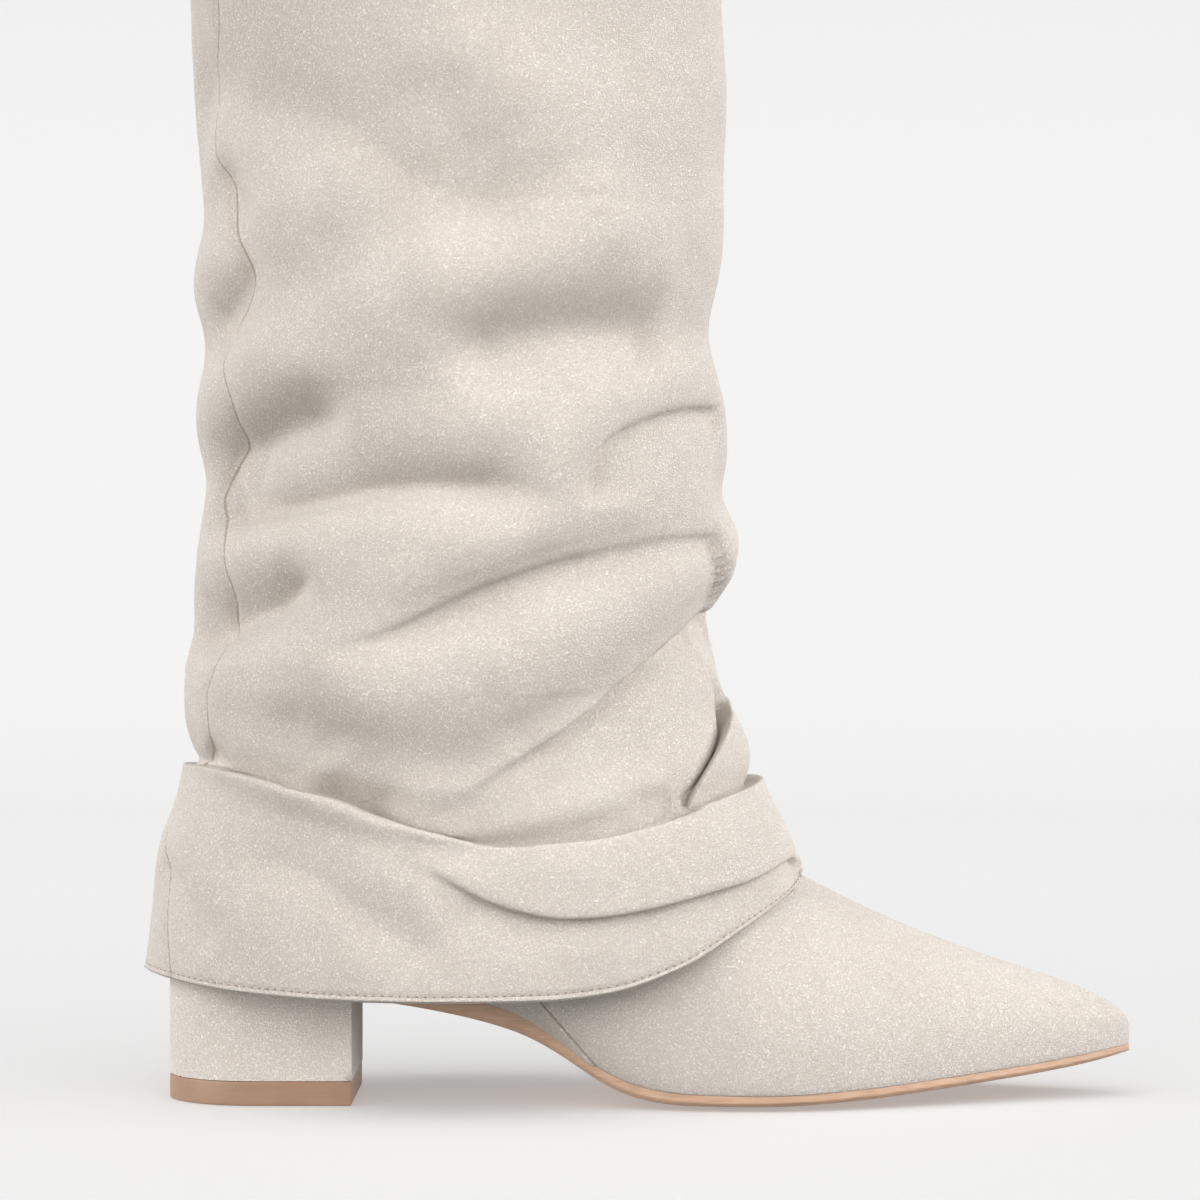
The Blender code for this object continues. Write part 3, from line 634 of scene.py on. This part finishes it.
def beside(path, points, facing):
    """Distance of points from a path, above it or below, how far along it they lie, and which way is up."""
    tangents = np.gradient(path, axis=0)
    lengths = np.concatenate([[0], np.cumsum(np.linalg.norm(np.diff(path, axis=0), axis=1))])
    best = np.full(len(points), 1e9)
    spot = np.zeros(len(points))
    offset = np.zeros((len(points), 3))
    along = np.zeros((len(points), 3))
    for i, way in enumerate(np.diff(path, axis=0)):
        size = way @ way
        if size < 1e-9:
            continue
        t = np.clip(((points - path[i]) @ way) / size, 0, 1)
        gap = points - path[i] - t[:, None] * way
        through = np.clip((gap * facing).sum(1), -OFF_SURFACE, OFF_SURFACE)
        gap = gap - through[:, None] * facing
        distance = (gap * gap).sum(1)
        nearer = distance < best
        best[nearer] = distance[nearer]
        spot[nearer] = (lengths[i] + t * math.sqrt(size))[nearer]
        offset[nearer] = gap[nearer]
        along[nearer] = ((1 - t)[:, None] * tangents[i] + t[:, None] * tangents[i + 1])[nearer]
    upward = np.cross(facing, along)
    upward /= np.maximum(np.linalg.norm(upward, axis=1, keepdims=True), 1e-9)
    signed = np.sqrt(best) * np.where((offset * upward).sum(1) >= 0, 1.0, -1.0)
    return signed, spot, lengths[-1], upward


def press(grid, normals, crease, moved_out, moved_over):
    """Adds one crease to the moves of the grid's points, outwards and across the surface."""
    path = on_surface(crease.points, grid)
    flat = grid.reshape(-1, 3)
    reach = REACH * max(crease.above, crease.below, crease.lap)
    near = np.flatnonzero(np.all((flat > path.min(0) - reach) & (flat < path.max(0) + reach), axis=1))
    signed, spot, whole, upward = beside(path, flat[near], normals.reshape(-1, 3)[near])
    strength = np.ones(len(near))
    if crease.fade[0]:
        strength *= ease(spot / crease.fade[0])
    if crease.fade[1]:
        strength *= ease((whole - spot) / crease.fade[1])
    on_ridge = (signed - RIDGE_AWAY * crease.above) / (RIDGE_WIDTH * crease.above)
    ridge = crease.ridge * np.exp(-(on_ridge**2))
    if crease.lap:
        upper_lies_over = crease.over > 0
        height = signed if upper_lies_over else -signed
        on_top = 0.5 + 0.5 * np.tanh(height / crease.edge)
        recess = np.exp(-np.maximum(-height, 0) / (crease.below if upper_lies_over else crease.above))
        swell = abs(crease.over) * np.exp(-((height / (SWELL_WIDTH * crease.lap)) ** 2))
        outwards = ridge + on_top * swell - (1 - on_top) * crease.depth * recess
        bend = np.tanh(signed / (BEND_WIDTH * crease.lap))
        across = -crease.lap * bend * np.exp(-((signed / (SPAN_WIDTH * crease.lap)) ** 2)) * strength
        moved_over.reshape(-1, 3)[near] += across[:, None] * upward
    else:
        width = np.where(signed > 0, crease.above, crease.below)
        away = np.sqrt(signed**2 + 1.0) - 1.0
        outwards = ridge - crease.depth * np.exp(-((away / width) ** crease.bottom))
    moved_out.reshape(-1)[near] += outwards * strength


def uneven(grid, amount, size, seed):
    """Slow waves of the surface, the same each time."""
    flat = grid.reshape(-1, 3)
    shift = Vector((seed, 0, 0))
    values = [noise.noise(Vector(point) / size + shift) for point in flat]
    return amount * np.array(values).reshape(grid.shape[:2])


shell = tree_of("foldover_shaft")
coarse = 2 * np.pi * np.arange(CAD_COLUMNS) / CAD_COLUMNS
angles = column_angles()
coarse_hem = hem_heights(shell, coarse)
hem = between_columns(coarse_hem, angles)
plain = plain_drape(shell, coarse, coarse_hem, angles)
facing = grid_normals(plain)
moved_out = np.zeros(plain.shape[:2])
moved_over = np.zeros(plain.shape)
for crease in CREASES:
    press(plain, facing, crease, moved_out, moved_over)
moved_out += uneven(plain, *WIDE_WAVES) + uneven(plain, *SMALL_WAVES)
over_low = ease((plain[..., 2] - SWELL_RANGE[0]) / SWELL_EASE[0])
under_high = ease((SWELL_RANGE[1] - plain[..., 2]) / SWELL_EASE[1])
moved_out += SIDE_SWELL * facing[..., 1] ** 2 * (over_low * under_high)
calm = ease((TOP - plain[..., 2]) / CALM_TOP)
above_hem = plain[..., 2] - hem
draped = plain + facing * (moved_out * calm)[..., None] + moved_over * ease(above_hem / CALM_HEM)[..., None]

# The back seam, which the creases push to and fro, and the groove of the hem's stitches
BACK_SEAM = [
    (-10, 418), (-10.5, 360), (-10.8, 308), (-11.8, 283), (-9.3, 263), (-5.5, 248), (-2.4, 238), (-0.1, 231),
    (-1.4, 225), (-6.8, 216), (-8.8, 208), (-6.8, 198), (-4.3, 190), (-1.9, 184), (-4.3, 181), (-7.8, 175),
    (-9.3, 163), (-8.8, 155), (-6.3, 145), (-4.9, 138), (-6.5, 131), (-11, 123), (-14.4, 114), (-13.8, 105),
    (-12.6, 98), (-25.5, 89), (-27, 71), (-26, 56), (-25, 43), (-24, 36),
]
SEAM_DEPTH = 0.7
SEAM_WIDTH = 1.5
SEAM_HIDDEN = (84.0, 95.0)
STITCH_UP = 1.9
STITCH_DEPTH = 0.30
STITCH_WIDTH = 0.6
HEM_SWELL = 0.12
HEM_SWELL_UP = 0.9
HEM_SWELL_WIDTH = 0.6

seam_path = on_surface(BACK_SEAM, draped, plain)
from_seam = beside(seam_path, plain.reshape(-1, 3), facing.reshape(-1, 3))[0].reshape(plain.shape[:2])
from_seam[(plain[..., 2] > SEAM_HIDDEN[0]) & (plain[..., 2] < SEAM_HIDDEN[1])] = NO_SEAM
groove = SEAM_DEPTH * np.exp(-((from_seam / SEAM_WIDTH) ** 2))
groove += STITCH_DEPTH * np.exp(-(((above_hem - STITCH_UP) / STITCH_WIDTH) ** 2))
groove -= HEM_SWELL * np.exp(-(((above_hem - HEM_SWELL_UP) / HEM_SWELL_WIDTH) ** 2))
draped -= grid_normals(draped) * groove[..., None]


def outside_of(piece):
    """The faces of a piece that look away from the rest of it."""
    points = [vertex.co / MM for vertex in piece.data.vertices]
    faces = [tuple(face.vertices) for face in piece.data.polygons]
    walls = BVHTree.FromPolygons(points, faces)
    outer = []
    for face, corners in zip(piece.data.polygons, faces):
        if walls.ray_cast(face.center / MM + face.normal, face.normal)[0] is None:
            outer.append(corners)
    return BVHTree.FromPolygons(points, outer)


def keep_off(rows, room):
    """Moves points that lie in the leg or too near it out to a little room from it."""
    for row in rows.reshape(-1, 3):
        near, normal, _, _ = leg.find_nearest(Vector(row), SEARCH)
        if near is None:
            continue
        least = room * float(ease((TOP - row[2]) / ROOM_EASE))
        gap = Vector(row) - near
        if gap.dot(normal) < -TURNED_AWAY * gap.length:
            row[:] = near + normal * least
        elif gap.length < least:
            row[:] = near + gap.normalized() * least


leg = outside_of(upper)
keep_off(draped, LEAST_ROOM)


def moved_in(rows, inward):
    """Rows of the tube set in towards the leg's axis, level with where they are."""
    way = outward(angles)[None]
    return rows - way * np.reshape(inward, (-1, 1, 1))


def lowest_near(values, reach):
    """The least of the values within a reach counted in grid steps."""
    least = values.copy()
    for step in range(1, reach + 1):
        below = np.concatenate([np.repeat(values[:1], step, 0), values[:-step]])
        above = np.concatenate([values[step:], np.repeat(values[-1:], step, 0)])
        for shifted in (below, above, np.roll(values, step, axis=1), np.roll(values, -step, axis=1)):
            least = np.minimum(least, shifted)
    return least


radius = np.einsum("rcx,cx->rc", draped - np.array([AXIS_X, 0, 0]), outward(angles))
shelter = smooth_along(lowest_near(radius, SHELTER_REACH), SHELTER_SMOOTHING, 0)
shelter = smooth_along(shelter, SHELTER_SMOOTHING, 1, around=True)
picked = np.linspace(OUTER_ROWS - LINING_ENDS[0], LINING_ENDS[1], LINING_ROWS).astype(int)
lining = outward(angles)[None] * (shelter[picked] - SUEDE_WALL)[..., None]
lining[..., 0] += AXIS_X
lining[..., 2] = plain[picked][..., 2]

top_rows = moved_in(np.repeat(draped[-1:], len(TOP_TURN), 0), [inward for inward, _ in TOP_TURN])
top_rows[..., 2] = np.array([TOP - down for _, down in TOP_TURN])[:, None]
hem_reach = []
for inward, up in HEM_TURN:
    layer = shelter if up > HEM_TIGHT else radius
    level = [np.interp(up, above_hem[:HEM_LEVELS, i], layer[:HEM_LEVELS, i]) for i in range(COLUMNS)]
    hem_reach.append(np.array(level) - inward)
hem_rows = outward(angles)[None] * np.array(hem_reach)[..., None]
hem_rows[..., 0] += AXIS_X
hem_rows[..., 2] = hem[None] + np.array([up for _, up in HEM_TURN])[:, None]
loop = np.concatenate([draped, top_rows, lining, hem_rows])

closed = np.concatenate([loop, loop[:1]])
closed = np.concatenate([closed, closed[:, :1]], axis=1)

bpy.ops.object.select_all(action="DESELECT")
bpy.ops.mesh.primitive_grid_add(x_subdivisions=COLUMNS, y_subdivisions=len(loop))
shaft = bpy.context.object
shaft.name = "turned_down_shaft"
shaft.data.name = "turned_down_shaft"
shaft.data.vertices.foreach_set("co", (closed * MM).astype(np.float32).ravel())
shaft.data.update()
# Distance from the back seam, which the suede's painted seam shade reads
distances = np.full(closed.shape[:2], NO_SEAM)
distances[:OUTER_ROWS, :COLUMNS] = from_seam
distances[:, -1] = distances[:, 0]
distances[-1] = distances[0]
shaft.data.attributes.new("from_seam", "FLOAT", "POINT").data.foreach_set("value", distances.ravel())
bpy.ops.object.mode_set(mode="EDIT")
bpy.ops.mesh.select_all(action="SELECT")
bpy.ops.mesh.remove_doubles(threshold=0.001 * MM)
bpy.ops.mesh.normals_make_consistent(inside=False)
bpy.ops.object.mode_set(mode="OBJECT")
bpy.ops.object.shade_smooth()
# The shaft's suede carries painted shade along the back seam
dress(shaft, make_suede("foldover_suede", seam="from_seam"), "foldover_shaft")

# Topstitch of the hem: thread drawn tight into the groove, painted a little darker than the suede as painted
# shade of the groove, and between the stitches dark marks of painted shade for the needle's holes.
STITCH_PITCH = 2.4
STITCH_LENGTH = 1.4
THREAD_WIDTH = 0.46
THREAD_SINK = 0.02
HOLE_LENGTH = 1.15
HOLE_WIDTH = 0.46
# Painted shade: the thread is darker than the suede for the shade of the groove it lies in
THREAD_SHADED_COLOUR = (0.60, 0.53, 0.46)
# Painted shade: dark marks between the stitches for the needle's holes and the gaps in shade
HOLE_SHADE_COLOUR = (0.30, 0.250, 0.205)


def make_thread(name, colour):
    material = bpy.data.materials.new(name)
    material.use_nodes = True
    tree = material.node_tree
    shader = tree.nodes["Principled BSDF"]
    place = tree.nodes.new("ShaderNodeTexCoord").outputs["Object"]
    strands = add_noise(tree, place, 0.25, 2.0)
    deep = tuple(value * 0.8 for value in colour)
    link(tree, add_ramp(tree, strands, [(0.35, deep), (0.65, colour)]), shader.inputs["Base Color"])
    shader.inputs["Roughness"].default_value = 0.8
    return material


def sew(name, path, facing, pitch, shift, size, sink, material):
    """A row of small rounded marks along a closed path, joined in one piece."""
    bpy.ops.object.select_all(action="DESELECT")
    steps = np.linalg.norm(np.roll(path, -1, axis=0) - path, axis=1)
    travelled = np.concatenate([[0], np.cumsum(steps)])
    ring = np.concatenate([path, path[:1]])
    normals = np.concatenate([facing, facing[:1]])
    count = int(travelled[-1] / pitch)
    marks = []
    bpy.ops.mesh.primitive_uv_sphere_add(segments=6, ring_count=4, radius=0.5)
    first = bpy.context.object
    for i in range(count):
        spot = (i + shift) * travelled[-1] / count
        centre, ahead = (
            Vector([np.interp(at, travelled, ring[:, axis]) for axis in range(3)])
            for at in (spot, (spot + 0.4) % travelled[-1])
        )
        normal = Vector([np.interp(spot, travelled, normals[:, axis]) for axis in range(3)]).normalized()
        tangent = (ahead - centre).normalized()
        side = normal.cross(tangent).normalized()
        mark = first if i == 0 else first.copy()
        if i:
            mark.data = shape.copy()
            bpy.context.scene.collection.objects.link(mark)
        else:
            shape = first.data.copy()
        for vertex, start in zip(mark.data.vertices, shape.vertices):
            way = tangent * start.co.x * size[0] + side * start.co.y * size[1] + normal * start.co.z * size[1]
            vertex.co = (centre - normal * sink + way) * MM
        marks.append(mark)
    for mark in marks:
        mark.select_set(True)
    bpy.context.view_layer.objects.active = first
    bpy.ops.object.join()
    first.name = name
    first.data.name = name
    bpy.ops.object.shade_smooth()
    dress(first, material)


stitch_row = int(np.argmin(np.abs((above_hem - STITCH_UP).mean(1))))
stitch_path = draped[stitch_row]
stitch_facing = grid_normals(draped)[stitch_row]
sew("hem_stitches", stitch_path, stitch_facing, STITCH_PITCH, 0.0, (STITCH_LENGTH, THREAD_WIDTH), THREAD_SINK,
    make_thread("hem_thread_shaded", THREAD_SHADED_COLOUR))
# Dark marks of painted shade between the stitches
sew("hem_stitch_hole_shade", stitch_path, stitch_facing, STITCH_PITCH, 0.5, (HOLE_LENGTH, HOLE_WIDTH), 0.0,
    make_thread("needle_hole_shade", HOLE_SHADE_COLOUR))

# Pale studio floor of thin paper, lit from behind, that curves up into the backdrop.
FLOOR_COLOUR = (0.90, 0.90, 0.90)
FLOOR_FRONT = -12.0
CURVE_START = 1.6
CURVE_RADIUS = 1.0
BACKDROP_HEIGHT = 3.2
FLOOR_HALF_WIDTH = 12.0
FLOOR_STEPS = 240
FLOOR_GLOW = 0.28

bpy.ops.object.select_all(action="DESELECT")
bpy.ops.mesh.primitive_grid_add(x_subdivisions=1, y_subdivisions=FLOOR_STEPS)
floor = bpy.context.object
floor.name = "studio_floor"
quarter = CURVE_RADIUS * math.pi / 2
whole = CURVE_START - FLOOR_FRONT + quarter + BACKDROP_HEIGHT - CURVE_RADIUS
for vertex in floor.data.vertices:
    travelled = (vertex.co.y + 1) / 2 * whole - (CURVE_START - FLOOR_FRONT)
    turn = min(max(travelled / CURVE_RADIUS, 0.0), math.pi / 2)
    vertex.co.x = math.copysign(FLOOR_HALF_WIDTH, vertex.co.x)
    vertex.co.y = CURVE_START + min(travelled, 0.0) + CURVE_RADIUS * math.sin(turn)
    vertex.co.z = CURVE_RADIUS * (1 - math.cos(turn)) + max(travelled - quarter, 0.0)
bpy.ops.object.shade_smooth()
paper = bpy.data.materials.new("backdrop_paper")
paper.use_nodes = True
paper_shader = paper.node_tree.nodes["Principled BSDF"]
paper_shader.inputs["Base Color"].default_value = (*FLOOR_COLOUR, 1.0)
paper_shader.inputs["Roughness"].default_value = 0.9
paper_shader.inputs["Specular IOR Level"].default_value = 0.1
paper_shader.inputs["Emission Color"].default_value = (1.0, 1.0, 1.0, 1.0)
paper_shader.inputs["Emission Strength"].default_value = FLOOR_GLOW
floor.data.materials.append(paper)
floor.visible_diffuse = False

# Light: two wide soft lights from the sides, a weak one from above in front, a warm one all round
# from the front, one from behind, and one of its own for the paper.
ROOM_LIGHT = 0.30
BOOT_LIGHTS = {
    "front_light": ((0.0, -0.85, 0.60), 0.10, 50.0, (1.0, 1.03, 1.08)),
    "left_light": ((-0.86, -0.50, 0.32), 3.8, 60.0, (1.0, 1.0, 1.0)),
    "right_light": ((0.91, -0.34, 0.36), 4.5, 60.0, (1.0, 1.0, 1.0)),
    "warm_fill": ((0.0, -1.0, -0.10), 0.28, 150.0, (1.0, 0.92, 0.82)),
    "back_light": ((-0.2, 1.0, 0.5), 2.4, 90.0, (1.0, 1.0, 1.0)),
}
PAPER_LIGHTS = {"paper_light": ((0.0, -1.0, 1.0), 1.45, 150.0, (1.0, 1.0, 1.0))}


def add_suns(suns, group, pieces):
    """Suns that light only these pieces: where from, strength, spread in degrees and colour."""
    lit = bpy.data.collections.new(group)
    for piece in pieces:
        lit.objects.link(piece)
    for name, (start, strength, spread, colour) in suns.items():
        lamp = bpy.data.lights.new(name, "SUN")
        lamp.energy = strength
        lamp.angle = math.radians(spread)
        lamp.color = colour
        holder = bpy.data.objects.new(name, lamp)
        bpy.context.scene.collection.objects.link(holder)
        holder.rotation_euler = Vector(start).to_track_quat("Z", "Y").to_euler()
        holder.light_linking.receiver_collection = lit


boot_pieces = [thing for thing in bpy.context.scene.objects if thing.type == "MESH" and thing != floor]
add_suns(BOOT_LIGHTS, "lit_boot", boot_pieces)
add_suns(PAPER_LIGHTS, "lit_paper", [floor])
world = bpy.data.worlds.new("room")
bpy.context.scene.world = world
world.use_nodes = True
world.node_tree.nodes["Background"].inputs["Color"].default_value = (1.0, 1.0, 1.0, 1.0)
world.node_tree.nodes["Background"].inputs["Strength"].default_value = ROOM_LIGHT
bpy.context.scene.view_settings.view_transform = "Standard"

# Camera: level, at the height of the ankle, a little over a metre from the boot's outer side.
CAMERA_PLACE = (0.0962, -1.150, 0.1414)
SENSOR = 36.0
FOCAL_SHARE = 4021 / 1200

camera_data = bpy.data.cameras.new("camera")
camera_data.sensor_width = SENSOR
camera_data.lens = SENSOR * FOCAL_SHARE
camera = bpy.data.objects.new("camera", camera_data)
bpy.context.scene.collection.objects.link(camera)
camera.location = CAMERA_PLACE
camera.rotation_euler = (math.pi / 2, 0, 0)
bpy.context.scene.camera = camera
